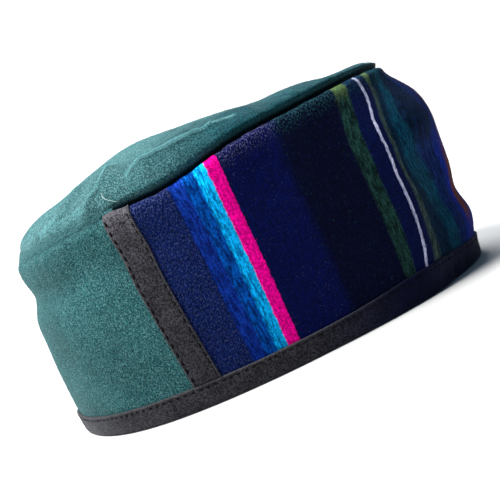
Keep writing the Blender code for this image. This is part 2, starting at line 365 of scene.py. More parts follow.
# Painted shade towards the front of the binding cloth, and painted light towards its top, as factors on
# its colour
TAPE_FRONT_SHADE = (0.04, 0.08, 0.60)
TAPE_TOP_LIGHT = (2.40, 2.30, 2.25)
MATT_SPECULAR = 0.04
MATT_ROUGHNESS = 0.85

# The thickening of the lint on the stripes, painted light, reaches NAP_DEPTH below the seam. A
# stretch is where a colour begins, is full, begins to fall and ends, in mm from the mirror line.
NAP_DEPTH = 0.013
OLIVE_STRETCHES = [(56.5, 57.5, 64.5, 66.0), (37.0, 38.5, 42.4, 43.8)]
BRIGHT_STRETCH = (120.0, 121.5, 143.0, 144.0)
RUST_STRETCH = (0.016, 0.026, 0.046, 0.064)  # up the band, in metres

# Where its fibres take a colour of their own, in the same mm
FIBRE_GREY_START = 96
FIBRE_OLIVE_RUNS = [(57, 65), (38, 43)]
FIBRE_BRIGHT_RUN = (121, 143)
FIBRE_LOOKS = {"grey": NAP_GREY, "teal": NAP_TEAL, "olive": NAP_OLIVE, "heather": NAP_HEATHER}

# Shades of the fibres, as a factor on the cloth's colour and a haze of white
GREEN_SHADES = [(0.4, 0.0), (1.2, 0.0), (2.2, 0.02), (3.4, 0.08), (4.0, 0.12)]
TAPE_SHADES = [(0.8, 0.0), (2.0, 0.002), (4.0, 0.03)]
STRIPE_SHADE = (1.3, 0.001)

# The studio
FLOOR_REACH = 2.6
FLOOR_DROP = 0.0001
SWEEP_START = 1.0
SWEEP_RADIUS = 0.6
SWEEP_HEIGHT = 2.0
SWEEP_STEPS = 12
FILL_COLOUR = (0.42, 0.68, 1.0, 1.0)
FILL_STRENGTH = 0.20
KEY_PLACE = (-0.22, 0.86, 1.56)
KEY_TARGET = (0, 0, 0.06)
KEY_SIZE = 0.8
KEY_POWER = 80
KEY_COLOUR = (1.0, 0.985, 0.96)
SWEEP_LIGHT_PLACE = (0.75, 0.0, 1.9)
SWEEP_LIGHT_TARGET = (1.6, 0.0, 0.2)
SWEEP_LIGHT_SIZE = 1.2
SWEEP_POWER = 74

# The photograph's viewpoint
CAMERA_AZIMUTH = radians(-105.6)
CAMERA_ELEVATION = radians(4.47)
CAMERA_ROLL = radians(-23.78)
CAMERA_DISTANCE = 0.535
CAMERA_TARGET = (0.0, 0.004, 0.045)
CAMERA_LENS_MM = 80.6
CAMERA_SENSOR_MM = 36.0
CAMERA_SHIFT_X = 0.0157
CAMERA_SHIFT_Y = 0.0113


def each(values):
    """Numbers with a last axis added, so that each scales a vector of its own."""
    return np.expand_dims(values, -1)


def clamp(value):
    return np.clip(value, 0.0, 1.0)


def bell(away, spread):
    """1 at the middle, about a third at one spread from it, and nearly 0 from two spreads on."""
    return np.exp(-((away / spread) ** 2))


def unit(vectors):
    return vectors / np.maximum(np.linalg.norm(vectors, axis=-1, keepdims=True), TINY)


def grey(level):
    return (level, level, level)


def angle_between(angle, degrees):
    """Signed angle from a place on the outline, given in degrees, the short way round."""
    return (angle - radians(degrees) + np.pi) % (2 * np.pi) - np.pi


def with_height(plan, height):
    """Points in space from their places in plan and their heights."""
    return np.concatenate([plan, each(height)], axis=-1)


def seam_height(angle, share=1.0):
    """Height of the seam, carried smoothly across the cap from its rim (share 1) to its middle (0)."""
    lengthwise = (SEAM_FRONT + SEAM_BACK) / 2
    middle = (lengthwise + SEAM_SIDE) / 2
    tilt = (SEAM_FRONT - SEAM_BACK) / 2
    saddle = (lengthwise - SEAM_SIDE) / 2
    height = middle + tilt * share * np.cos(angle) + saddle * share**2 * np.cos(2 * angle)
    for wave in SEAM_WAVES:
        wave_here = bell(angle_between(angle, wave.angle), radians(wave.angle_spread))
        height = height + wave.lift * SEAM_SIDE * wave_here * share**SEAM_FADE
    return height


def outline_radius(angle):
    """Distance from the cap's axis to the band's outline."""
    reach = np.where(np.cos(angle) > 0, FRONT_REACH, BACK_REACH)
    lengthwise = (np.abs(np.cos(angle)) / reach) ** SQUARENESS
    crosswise = (np.abs(np.sin(angle)) / HALF_WIDTH) ** SQUARENESS
    return (lengthwise + crosswise) ** (-1 / SQUARENESS)


def over_stripes(angle):
    """1 over the striped front, and 0 over the plain back."""
    away = np.abs(angle_between(angle, 0))
    return clamp((JOINT_ANGLE_TOP + JOINT_MARGIN - away) / JOINT_FADE)


def nose(angle):
    """Share of the rounded front end at an angle."""
    return bell(angle_between(angle, NOSE_ANGLE), radians(NOSE_SPREAD))


def band_relief(angle, height_share):
    """Push of the dents and bulges at a place on the band."""
    push = BAND_BOW * np.sin(np.pi * height_share)
    for dent in BAND_DENTS:
        across = bell(angle_between(angle, dent.angle), radians(dent.angle_spread))
        upward = bell(height_share - dent.height, dent.height_spread)
        push = push + dent.push * HALF_WIDTH * across * upward
    return push


def ring_point(angle, height_share):
    """Plan position of the band's outer face, without its height."""
    radius = outline_radius(angle) + band_relief(angle, height_share)
    return np.stack([-radius * np.sin(angle), CENTRE_Y - radius * np.cos(angle)], axis=-1)


def chord(angle, height_share):
    """Run of the band's outline over two small steps of the angle."""
    return ring_point(angle + ANGLE_STEP, height_share) - ring_point(angle - ANGLE_STEP, height_share)


def outward(angle, height_share=1.0):
    """Unit vector square to the band's outline, in plan, that points away from the cap."""
    along = chord(angle, height_share)
    return unit(np.stack([-along[..., 1], along[..., 0]], axis=-1))


def level_outward(angles):
    """The same vectors at the top of the band, level in space."""
    return with_height(outward(angles), np.zeros(len(angles)))


def band_point(angle, height, turn=0.0, outset=0.0):
    """Point on the band at a height, or on its turned-in top edge where turn is above zero."""
    share = height / (seam_height(angle) - BAND_ROLL)
    reach = (BAND_ROLL + outset) * np.cos(turn) - BAND_ROLL
    plan = ring_point(angle, share) + outward(angle, share) * each(reach)
    return with_height(plan, height + (BAND_ROLL + outset) * np.sin(turn))


def joint_angle(height):
    """Angle of the slanted joint between the front and back panels, at a height."""
    share = height / SEAM_SIDE
    return JOINT_ANGLE_FOOT + (JOINT_ANGLE_TOP - JOINT_ANGLE_FOOT) * share


def arc_angle(angle, height, length):
    """Angle that spans a short length along the band's outline."""
    share = height / (seam_height(angle) - BAND_ROLL)
    return length * 2 * ANGLE_STEP / np.linalg.norm(chord(angle, share), axis=-1)


def path_distance(place, path):
    """Distance of places from a path of straight runs, and the share of the path nearest to each."""
    best = None
    total = len(path) - 1
    for number in range(total):
        start = np.array(path[number])
        run = np.array(path[number + 1]) - start
        here = place - start
        along = clamp(here @ run / (run @ run))
        away = np.linalg.norm(here - each(along) * run, axis=-1)
        share = (number + along) / total
        if best is None:
            best, best_share = away, share
        else:
            best_share = np.where(away < best, share, best_share)
            best = np.minimum(away, best)
    return best, best_share


def plan_share(angle, share):
    """Place on the crown in plan, as shares of HALF_WIDTH and of the reach."""
    return np.stack([-share * np.sin(angle), -share * np.cos(angle)], axis=-1)


def fold_lift(place):
    """Height that the soft folds add to the crown."""
    lift = 0.0
    for fold in CROWN_FOLDS:
        path = [(fold.x_from, fold.y_from), (fold.x_to, fold.y_to)]
        away, _ = path_distance(place, path)
        lift = lift + fold.lift * RISE_MIDDLE * bell(away, fold.spread)
    return lift


def crease_lift(place):
    """Lift of the crown's sharp creases."""
    lift = 0.0
    for crease in CREASES:
        away, share = path_distance(place, crease.path)
        fade = clamp(np.minimum(share, 1 - share) / CREASE_FADE)
        lift = lift + crease.lift * fade * np.exp(-away * HALF_WIDTH / crease.spread)
    return lift


def crown_sag(y_share, share):
    """Fall of the shallow sags across the crown."""
    fall = 0.0
    for sag in CROWN_SAGS:
        fall = fall + sag.depth * bell(y_share - sag.y_share, sag.spread)
    return fall * (1 - share**FOLD_FADE)


def crown_point(angle, share, upright=CROWN_UPRIGHT):
    """Point on the crown's outer face, from its rim (share 1) to its middle (share 0)."""
    rim_plan = ring_point(angle, 1.0) - outward(angle) * CROWN_INSET
    centre = np.array([0.0, CENTRE_Y])
    plan = centre + (rim_plan - centre) * each(share)
    inward = np.linalg.norm(rim_plan - centre, axis=-1) * (1 - share)
    left = 1 - clamp(inward / CROWN_ROLL)
    edge = CROWN_ROLL * np.sqrt(1 - left**2)
    lengthwise = -share * np.cos(angle)
    tilt = (RISE_BACK - RISE_FRONT) / 2
    bend = (RISE_BACK + RISE_FRONT) / 2 - RISE_MIDDLE
    rise = RISE_MIDDLE + tilt * lengthwise + bend * lengthwise**2
    dome = rise * (1 - share**DOME_FALL) ** DOME_FULLNESS
    lift = fold_lift(plan_share(angle, share)) * (1 - share**FOLD_FADE)
    return with_height(plan, seam_height(angle, share) + GAP + upright + edge + dome + lift)


def arc_table():
    """Length round the band at half height, from the middle of the front, against the angle."""
    angles = np.linspace(0.0, pi, ARC_STEPS)
    steps = np.linalg.norm(np.diff(ring_point(angles, 0.5), axis=0), axis=-1)
    return angles, np.concatenate([[0.0], np.cumsum(steps)])


ARC_ANGLES, ARC_LENGTHS = arc_table()


def arc_at(angle):
    """Signed length round the band from the middle of the front."""
    angle = np.where(angle > pi, angle - 2 * pi, angle)
    return np.sign(angle) * np.interp(np.abs(angle), ARC_ANGLES, ARC_LENGTHS)


def woven_place(arc, height):
    """Place in the woven pattern, in metres, of a point on the band."""
    heights, *columns = np.array(STRIPE_PATHS).T * MM
    rests = np.array(STRIPE_REST)[1:] * MM
    places = [np.interp(height, heights, column) for column in columns]
    drift = np.zeros_like(arc)
    for low, high, rest_low, rest_high in zip(places, places[1:], rests, rests[1:]):
        share = clamp((arc - low) / (high - low))
        inside = (arc > low) & (arc <= high)
        drift = np.where(inside, rest_low + (rest_high - rest_low) * share - arc, drift)
    drift = np.where(arc > places[-1], rests[-1] - places[-1], drift)
    return arc + drift


def waves(seed, along, across, length, count=9):
    """Smooth random waves between about -1 and 1, of about one wavelength."""
    rng = np.random.default_rng(seed)
    total = 0.0
    for _ in range(count):
        heading = rng.uniform(0, 2 * pi)
        pitch = 2 * pi / (length * rng.uniform(0.7, 1.5))
        phase = rng.uniform(0, 2 * pi)
        total = total + np.sin(pitch * (along * np.cos(heading) + across * np.sin(heading)) + phase)
    return total / np.sqrt(count)


def pucker(seed, arc, away, lift=PUCKER_LIFT, reach=PUCKER_REACH):
    """Small gathers of the cloth beside a seam: none on the seam, most at one reach from it."""
    gathers = waves(seed, arc, away * PUCKER_STRETCH, PUCKER_LENGTH)
    return lift * gathers * (away / reach) * np.exp(1 - away / reach)


def drawn_in(from_edge, draw):
    """Depth to which a row of stitches draws the cloth in."""
    return draw.depth * bell(from_edge - draw.inset, draw.spread)


def normals_of(grid, closed):
    """Unit normals of a grid of points, by differences along its rows and columns."""
    up = np.gradient(grid, axis=0)
    if closed:
        round_it = (np.roll(grid, -1, axis=1) - np.roll(grid, 1, axis=1)) / 2
    else:
        round_it = np.gradient(grid, axis=1)
    return unit(np.cross(up, round_it))


def raised(grid, lift, closed=False):
    return grid + normals_of(grid, closed) * each(lift)


def interpolate(at, run, points):
    """Points at places along a line, where run holds the place of each of its own points."""
    return np.stack([np.interp(at, run, column) for column in points.T], axis=-1)


def along_knots(knots, steps):
    """Points along a path of straight runs, with so many steps for each of its knots."""
    at = np.linspace(0, len(knots) - 1, steps * len(knots))
    return interpolate(at, range(len(knots)), np.array(knots))


def smoothed(line, passes):
    """A line of points with its corners rounded off."""
    line = np.array(line)
    for _ in range(passes):
        line[1:-1] = (line[:-2] + 2 * line[1:-1] + line[2:]) / 4
    return line


def add_tube(vertices, faces, middles, ones, twos, radii, sides):
    """Add a round tube along a line of points. ones and twos are its directions across the line."""
    first = len(vertices)
    for middle, one, two, radius in zip(middles, ones, twos, radii):
        for corner in range(sides):
            turn = 2 * pi * corner / sides
            vertices.append(tuple(middle + (one * np.cos(turn) + two * np.sin(turn)) * radius))
    for low in range(first, len(vertices) - sides, sides):
        for corner in range(sides):
            after = (corner + 1) % sides
            faces.append((low + corner, low + after, low + sides + after, low + sides + corner))


def finish_mesh(name, vertices, faces, materials):
    """Make an object from points and faces, and let it ride on the cap."""
    mesh = bpy.data.meshes.new(name)
    mesh.from_pydata(vertices, [], faces)
    mesh.shade_smooth()
    for material in materials:
        mesh.materials.append(material)
    piece = bpy.data.objects.new(name, mesh)
    bpy.context.scene.collection.objects.link(piece)
    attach(piece, "root")
    return piece


class Nodes:
    """Short calls that add shader nodes to one material."""

    def __init__(self, name):
        self.material = bpy.data.materials.new(name)
        self.material.use_nodes = True
        self.tree = self.material.node_tree
        self.shader = self.tree.nodes["Principled BSDF"]

    def feed(self, socket, value):
        if isinstance(value, bpy.types.NodeSocket):
            self.tree.links.new(value, socket)
        elif isinstance(value, tuple) and len(value) == 3 and socket.type == "RGBA":
            socket.default_value = (*value, 1.0)
        else:
            socket.default_value = value

    def add(self, kind, output, inputs, **settings):
        """Add a node with its settings and inputs, and give one of its outputs."""
        node = self.tree.nodes.new(kind)
        for name, value in settings.items():
            setattr(node, name, value)
        for socket, value in inputs.items():
            self.feed(node.inputs[socket], value)
        return node.outputs[output]

    def math(self, operation, first, second=0.0, third=0.0):
        inputs = {0: first, 1: second, 2: third}
        return self.add("ShaderNodeMath", 0, inputs, operation=operation)

    def times(self, first, second):
        return self.math("MULTIPLY", first, second)

    def less(self, first, second):
        return self.math("SUBTRACT", first, second)

    def step(self, value, low, high):
        """Smooth step from 0 at low to 1 at high."""
        inputs = {"Value": value, "From Min": low, "From Max": high}
        return self.add("ShaderNodeMapRange", "Result", inputs, interpolation_type="SMOOTHSTEP")

    def stretch_at(self, value, stretch):
        """1 in a stretch that begins, is full, begins to end and ends at its four numbers."""
        begin, full, fall, end = stretch
        return self.times(self.step(value, begin, full), self.step(value, end, fall))

    def mix(self, factor, first, second, blend="MIX"):
        inputs = {0: factor, 6: first, 7: second}
        return self.add("ShaderNodeMix", 2, inputs, data_type="RGBA", blend_type=blend)

    def fade(self, factor, first, second):
        """Blend of two numbers."""
        return self.add("ShaderNodeMix", 0, {0: factor, 2: first, 3: second}, data_type="FLOAT")

    def shade(self, base, factor, dark, light, amount=1.0):
        """A colour times a blend of two others."""
        return self.mix(amount, base, self.mix(factor, dark, light), "MULTIPLY")

    def place(self):
        return self.add("ShaderNodeTexCoord", "Object", {})

    def surface_map(self, name):
        return self.add("ShaderNodeUVMap", "UV", {}, uv_map=name)

    def part_of(self, vector, number):
        return self.add("ShaderNodeSeparateXYZ", number, {0: vector})

    def stretch(self, vector, scale):
        return self.add("ShaderNodeVectorMath", 0, {0: vector, 1: scale}, operation="MULTIPLY")

    def noise(self, vector, size, detail=2.0, roughness=0.5):
        """Noise whose features are about one size, in metres."""
        inputs = {"Vector": vector, "Scale": 1.0 / size, "Detail": detail, "Roughness": roughness}
        return self.add("ShaderNodeTexNoise", "Fac", inputs)

    def bump(self, height, distance, strength=1.0, under=None):
        inputs = {"Height": height, "Distance": distance, "Strength": strength}
        if under is not None:
            inputs["Normal"] = under
        return self.add("ShaderNodeBump", "Normal", inputs)

    def set(self, name, value):
        self.feed(self.shader.inputs[name], value)


def felt_look(nodes, sheen, tint, grain=0.00028):
    """Matt felt: a lumpy nap in the bump, rough, with a soft sheen."""
    place = nodes.place()
    lumps = nodes.noise(place, size=0.0021, detail=3.0, roughness=0.6)
    fuzz = nodes.noise(place, size=0.0006, detail=2.0, roughness=0.7)
    under = nodes.bump(lumps, distance=grain * 1.6, strength=0.8)
    nodes.set("Normal", nodes.bump(fuzz, distance=grain, under=under))
    nodes.set("Roughness", nodes.math("MULTIPLY_ADD", lumps, 0.12, 0.84))
    nodes.set("Specular IOR Level", MATT_SPECULAR)
    nodes.set("Sheen Weight", sheen)
    nodes.set("Sheen Roughness", 0.45)
    nodes.set("Sheen Tint", tint)


def plain_look(name, colour, sheen=0.0):
    nodes = Nodes(name)
    nodes.set("Base Color", colour)
    nodes.set("Roughness", MATT_ROUGHNESS)
    nodes.set("Specular IOR Level", MATT_SPECULAR)
    nodes.set("Sheen Weight", sheen)
    return nodes.material


def green_felt(name, sheen, pale, painted_side_shade):
    """Heathered green wool, fulled until its yarns hardly show. pale is the strength of its flecks."""
    nodes = Nodes(name)
    place = nodes.place()
    cloudy = nodes.noise(place, size=0.022, detail=3.0, roughness=0.55)
    fleck = nodes.noise(place, size=0.0008, detail=2.0, roughness=0.75)
    fine = nodes.noise(place, size=0.0006, detail=1.0, roughness=0.5)
    base = nodes.mix(nodes.step(fleck, 0.38, 0.62), GREEN_DARK, GREEN_MID)
    base = nodes.mix(nodes.times(nodes.step(fine, 0.48, 0.70), pale), base, GREEN_PALE)
    base = nodes.shade(base, nodes.step(cloudy, 0.30, 0.70), grey(0.80), (1.16, 1.14, 1.12))
    if painted_side_shade:
        # Painted shade on the crown's sides, darkest in the fold of its foot,
        # and painted light on its top and back
        edge = nodes.surface_map("edge")
        base = nodes.shade(base, nodes.part_of(edge, 1), CROWN_TOP_LIGHT, SIDE_SHADE_COLOUR)
        base = nodes.mix(nodes.part_of(edge, 0), base, FOOT_SHADE_COLOUR, "MULTIPLY")
    nodes.set("Base Color", base)
    felt_look(nodes, sheen, (0.60, 0.90, 0.95))
    return nodes.material


def stripe_colour(nodes, across, rust):
    """Colour and streakiness of the stripes at a distance across them, from the mirror line, in mm.

    rust is the share of the first stripe's own colour, which comes and goes up the band.
    """
    colour = nodes.mix(rust, STRIPES[1].colour, STRIPES[0].colour)
    streak = STRIPES[0].streak
    for before, stripe in zip(STRIPES, STRIPES[1:]):
        factor = nodes.step(across, before.end - before.blur, before.end + before.blur)
        colour = nodes.mix(factor, colour, stripe.colour)
        streak = nodes.fade(factor, streak, stripe.streak)
    return colour, streak


def lint_and_top_light(nodes, weave, across, below_seam):
    """Colour and amount of lint specks, thickest just under the seam as painted light."""
    _, _, fall, end = BRIGHT_STRETCH
    heathered = nodes.step(across, fall, end)
    colour = nodes.mix(nodes.step(across, 92.0, 99.0), NAP_TEAL, NAP_GREY)
    colour = nodes.mix(heathered, colour, NAP_HEATHER)
    wide, narrow = [nodes.stretch_at(across, stretch) for stretch in OLIVE_STRETCHES]
    olive = nodes.math("MAXIMUM", wide, narrow)
    colour = nodes.mix(olive, colour, NAP_OLIVE)
    speck = nodes.noise(nodes.stretch(weave, (1.0, 0.5, 1.0)), size=0.00055, detail=1.0)
    speck = nodes.step(speck, 0.48, 0.66)
    near = nodes.step(below_seam, NAP_DEPTH, 0.002)
    level = nodes.math("MULTIPLY_ADD", near, 0.56, nodes.fade(heathered, 0.02, 0.28))
    lit_top = nodes.times(olive, nodes.step(below_seam, NAP_DEPTH * 0.8, 0.004))
    lit_top = nodes.times(lit_top, nodes.math("MULTIPLY_ADD", speck, 0.45, 0.30))
    return colour, nodes.math("MAXIMUM", nodes.times(speck, level), lit_top)


def striped_felt():
    """Blanket wool with a raised nap, and stripes of yarn that run up the band."""
    nodes = Nodes("striped_felt")
    weave = nodes.surface_map("weave")
    height = nodes.part_of(weave, 1)
    below_seam = nodes.part_of(nodes.surface_map("edge"), 0)
    wobble = nodes.noise(nodes.stretch(weave, (1.0, 0.55, 1.0)), size=0.0016, roughness=0.6)
    sideways = nodes.times(nodes.less(wobble, 0.5), 1.5)
    mirrored = nodes.less(nodes.times(nodes.part_of(weave, 0), 1 / MM), float(MIRROR_LINE))
    across = nodes.math("ADD", nodes.math("ABSOLUTE", mirrored), sideways)
    colour, streak = stripe_colour(nodes, across, nodes.stretch_at(height, RUST_STRETCH))
    yarn = nodes.noise(nodes.stretch(weave, (1.0, 0.16, 1.0)), size=0.0010, roughness=0.6)
    yarn = nodes.step(yarn, 0.38, 0.62)
    colour = nodes.shade(colour, yarn, (0.18, 0.24, 0.34), (1.70, 1.60, 1.46), streak)
    fleck = nodes.step(nodes.noise(nodes.place(), size=0.0011, roughness=0.75), 0.38, 0.62)
    colour = nodes.shade(colour, fleck, grey(0.62), grey(1.26))

    # The first stripes are darker high up. The blue ones are brighter towards the seam: painted light
    # where the band's top turns up to the light
    high = nodes.times(nodes.step(height, 0.052, 0.074), nodes.step(across, 20.0, 14.0))
    colour = nodes.mix(high, colour, (0.30, 0.60, 0.35), "MULTIPLY")
    bright = nodes.stretch_at(across, BRIGHT_STRETCH)
    blues = nodes.times(bright, nodes.step(across, 126.4, 127.2))
    blue_top_light = nodes.step(below_seam, 0.024, 0.005)
    colour = nodes.shade(colour, blue_top_light, grey(0.94), (1.6, 1.6, 1.5), blues)

    nap_colour, amount = lint_and_top_light(nodes, weave, across, below_seam)
    amount = nodes.times(amount, nodes.less(1.0, bright))
    nodes.set("Base Color", nodes.mix(amount, colour, nap_colour))
    felt_look(nodes, 0.008, (0.4, 0.6, 1.0))
    return nodes.material


def tape_felt():
    """Charcoal binding cloth."""
    nodes = Nodes("tape_felt")
    place = nodes.place()
    cloudy = nodes.noise(place, size=0.006, detail=3.0, roughness=0.6)
    fleck = nodes.noise(place, size=0.0007, detail=2.0, roughness=0.7)
    base = nodes.mix(nodes.step(fleck, 0.36, 0.66), (0.006, 0.006, 0.008), (0.041, 0.040, 0.047))
    base = nodes.shade(base, nodes.step(cloudy, 0.30, 0.70), grey(0.75), grey(1.20))

    # The cloth goes from charcoal to a blue black towards the front: painted shade
    front_shade = nodes.step(nodes.part_of(place, 1), 0.030, -0.040)
    base = nodes.mix(front_shade, base, TAPE_FRONT_SHADE, "MULTIPLY")

    # It is paler towards the top of the band, painted light from above, with a pale line along its
    # edges that is a painted highlight
    upward = nodes.step(nodes.part_of(place, 2), 0.060, 0.088)
    base = nodes.mix(upward, base, TAPE_TOP_LIGHT, "MULTIPLY")
    from_edge = nodes.part_of(nodes.surface_map("weave"), 0)
    edge_light = nodes.times(nodes.step(fleck, 0.30, 0.60), 0.8)
    edge_light = nodes.times(edge_light, nodes.less(1.0, front_shade))
    edge = nodes.less(1.0, nodes.step(from_edge, EDGE_LINE * 0.6, EDGE_LINE * 1.2))
    nodes.set("Base Color", nodes.mix(nodes.times(edge, edge_light), base, EDGE_PALE))
    felt_look(nodes, 0.12, (0.75, 0.78, 0.85), grain=0.00018)
    return nodes.material


def sheet_piece(name, grid, woven, thickness, material, closed=False, tip=None):
    """Loft a sheet through a grid of points, with its place in the weave as a map, and thicken it."""
    levels, columns = grid.shape[:2]
    vertices = [tuple(point) for point in grid.reshape(-1, 3)]
    places = woven.reshape(-1, woven.shape[-1]).tolist()
    faces = []
    spans = columns if closed else columns - 1
    for low in range(0, (levels - 1) * columns, columns):
        high = low + columns
        for column in range(spans):
            after = (column + 1) % columns
            faces.append((low + column, high + column, high + after, low + after))
    if tip is not None:
        last = (levels - 1) * columns
        for column in range(columns):
            faces.append((last + column, len(vertices), last + (column + 1) % columns))
        vertices.append(tuple(tip))
        places.append([0.0] * woven.shape[-1])
    piece = finish_mesh(name, vertices, faces, [material])
    corners = np.zeros(len(piece.data.loops), dtype=np.int64)
    piece.data.loops.foreach_get("vertex_index", corners)
    for first, map_name in ((0, "weave"), (2, "edge")):
        if first < woven.shape[-1]:
            layer = piece.data.uv_layers.new(name=map_name)
            values = np.array(places)[corners, first : first + 2]
            layer.data.foreach_set("uv", values.astype(np.float32).ravel())
    thicken = piece.modifiers.new("Thickness", "SOLIDIFY")
    thicken.thickness = thickness
    thicken.offset = -1.0
    return piece


def band_grid(angles_at, first_height, last_turn, outset=0.0):
    """Points, angles, heights and distances below the seam of a grid on the band."""
    rows = []
    for level in range(PANEL_ROWS + 1):
        share = level / PANEL_ROWS
        top = seam_height(angles_at(first_height)) - BAND_ROLL
        angles = angles_at(first_height + (top - first_height) * share)
        top = seam_height(angles) - BAND_ROLL
        height = first_height + (top - first_height) * share
        away = top - height + BAND_ROLL * BAND_TURN
        rows.append((band_point(angles, height, 0.0, outset), angles, height, away))
    for level in range(1, FOLD_ROWS + 1):
        turn = last_turn * level / FOLD_ROWS
        points = band_point(angles, height, turn, outset)
        away = np.full(len(angles), BAND_ROLL * (BAND_TURN - turn))
        rows.append((points, angles, height + BAND_ROLL * turn, away))
    return [np.array(part) for part in zip(*rows)]


def band_cloth_lift(angles, heights, away):
    """Small folds of the band's cloth, the same for the panels and for the tape that lies on them."""
    arc = arc_at(angles)
    calm = clamp((heights - HEM_HEIGHT - GAP) / BAND_SOFT_REACH)
    soft = BAND_SOFT_LIFT * waves(31, arc, heights, BAND_SOFT_LENGTH)
    soft = soft * calm * clamp(away / BAND_SOFT_REACH)
    depth = EDGE_DIP_BACK + (EDGE_DIP - EDGE_DIP_BACK) * over_stripes(angles)
    dip = depth * clamp(1 - away / EDGE_DIP_REACH) ** 2
    sink = NOSE_SINK * nose(angles) * bell(away, NOSE_SINK_REACH)
    return soft + pucker(17, arc, away) * calm - dip - sink


def panel(name, angles_at, material):
    """One panel of the band's cloth, with its turned-in top edge."""
    grid, angles, heights, away = band_grid(angles_at, PANEL_FOOT, BAND_TURN)
    grid = raised(grid, band_cloth_lift(angles, heights, away))
    arc = arc_at(angles)
    woven = np.stack([woven_place(arc, heights), heights, away, arc], axis=-1)

    # The seam allowance goes on level, in under the crown
    inner = grid[-1:].copy()
    inner[..., :2] -= outward(angles[-1:]) * SEAM_ALLOWANCE
    grid = np.concatenate([grid, inner])
    woven = np.concatenate([woven, woven[-1:]])
    piece = sheet_piece(name, grid, woven, WALL, material)
    return piece, grid, woven


def front_angles(height):
    """Angles from joint to joint round the front, at a height."""
    joint = joint_angle(height)
    return np.linspace(-1, 1, FRONT_COLUMNS + 1) * (joint - arc_angle(joint, height, GAP / 2))


def back_angles(height):
    joint = joint_angle(height)
    half = np.pi - joint - arc_angle(joint, height, GAP / 2)
    return np.pi + np.linspace(-1, 1, BACK_COLUMNS + 1) * half


def seam_cord(material):
    """The soft lip of turned-in cloth between the crown and the back of the band."""
    angles = np.linspace(JOINT_ANGLE_TOP, 2 * pi - JOINT_ANGLE_TOP, BACK_COLUMNS)
    plan = ring_point(angles, 1.0) - outward(angles) * SEAM_CORD_INSET
    middles = with_height(plan, seam_height(angles) + GAP)
    down = np.tile([0.0, 0.0, -1.0], (BACK_COLUMNS, 1))
    radii = np.full(BACK_COLUMNS, SEAM_CORD_RADIUS)
    vertices = []
    faces = []
    add_tube(vertices, faces, middles, level_outward(angles), down, radii, SEAM_CORD_SIDES)
    finish_mesh("seam_cord", vertices, faces, [material])


def crown_piece(material):
    """The domed top with its folds and the gathers along its rim."""
    angles = np.linspace(-pi, pi, CROWN_COLUMNS, endpoint=False)
    foot = crown_point(angles, np.ones(CROWN_COLUMNS), upright=0.0)
    shares = [1.0, 1.0]
    rows = [foot - np.array([0.0, 0.0, RIM_DROP]), foot]
    for level in range(CROWN_ROWS):
        shares.append(np.cos(np.pi / 2 * level / CROWN_ROWS))
        rows.append(crown_point(angles, np.full(CROWN_COLUMNS, shares[-1])))
    grid = np.array(rows)
    share = each(shares) + np.zeros(CROWN_COLUMNS)
    above = np.maximum(grid[..., 2] - foot[:, 2], 0.0)
    away = outline_radius(angles) * (1 - share)
    near = clamp(1 - away / RIM_REACH)
    striped = over_stripes(angles)
    front_end = nose(angles)

    # The rim, with its tuck and bulge over the stripes and its rounded front end
    tuck = (RIM_TUCK_BACK + (RIM_TUCK - RIM_TUCK_BACK) * striped) * (1 - front_end)
    rounding = bell(above, NOSE_ROUNDING)
    rounding[0] *= NOSE_FOOT
    push = NOSE_BULGE * front_end * rounding - tuck * bell(above, RIM_TUCK_HEIGHT)
    push = push + RIM_BULGE * striped * bell(above - RIM_BULGE_HEIGHT, RIM_BULGE_SPREAD)
    grid = grid + level_outward(angles) * each(near * push)
    grid[..., 2] -= NOSE_DROP * front_end * near * clamp(above / NOSE_DROP_HEIGHT)
    grid[..., 2] -= crown_sag(-share * np.cos(angles), share)

    arc = arc_at(angles) + np.zeros_like(share)
    soft = CROWN_SOFT_LIFT * waves(41, grid[..., 0], grid[..., 1], CROWN_SOFT_LENGTH)
    lift = pucker(23, arc, away, CROWN_PUCKER_LIFT, CROWN_PUCKER_REACH)
    lift = lift + soft * clamp(away / CROWN_SOFT_REACH) + crease_lift(plan_share(angles, share))
    grid = raised(grid, lift, closed=True)

    # How much shade is painted in the fold of the foot, and on the crown's sides
    foot_shade = bell(above, RIM_SHADE_HEIGHT) * near
    foot_shade = foot_shade * (RIM_SHADE_BACK + (1 - RIM_SHADE_BACK) * striped)
    # Painted shade on the crown's sides, round from the front and near the rim
    painted_side_shade = clamp((SIDE_SHADE_END - np.abs(angles)) / SIDE_SHADE_FADE)
    painted_side_shade = painted_side_shade * bell(away, SIDE_SHADE_REACH + SIDE_SHADE_NOSE * front_end)
    woven = np.concatenate([grid[..., :2], np.stack([foot_shade, painted_side_shade], axis=-1)], axis=-1)
    tip = grid[-1].mean(axis=0)
    piece = sheet_piece("crown_cloth", grid, woven, CROWN_SHEET, material, True, tip)
    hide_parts("crown")
    return grid, woven


def on_crown(grid, x_share, y_share):
    """Point of the finished crown at a place in plan, or on its rim for a place past it."""
    share = min(np.hypot(x_share, y_share), JUST_INSIDE)
    level = CROWN_FOOT_ROWS + np.arccos(share) * 2 / pi * CROWN_ROWS
    column = (np.arctan2(-x_share, -y_share) + pi) / (2 * pi) * CROWN_COLUMNS
    low, left = int(level), int(column)
    up, over = level - low, column - left
    corners = grid[low : low + 2, [left, (left + 1) % CROWN_COLUMNS]]
    rows = corners[0] * (1 - up) + corners[1] * up
    return rows[0] * (1 - over) + rows[1] * over


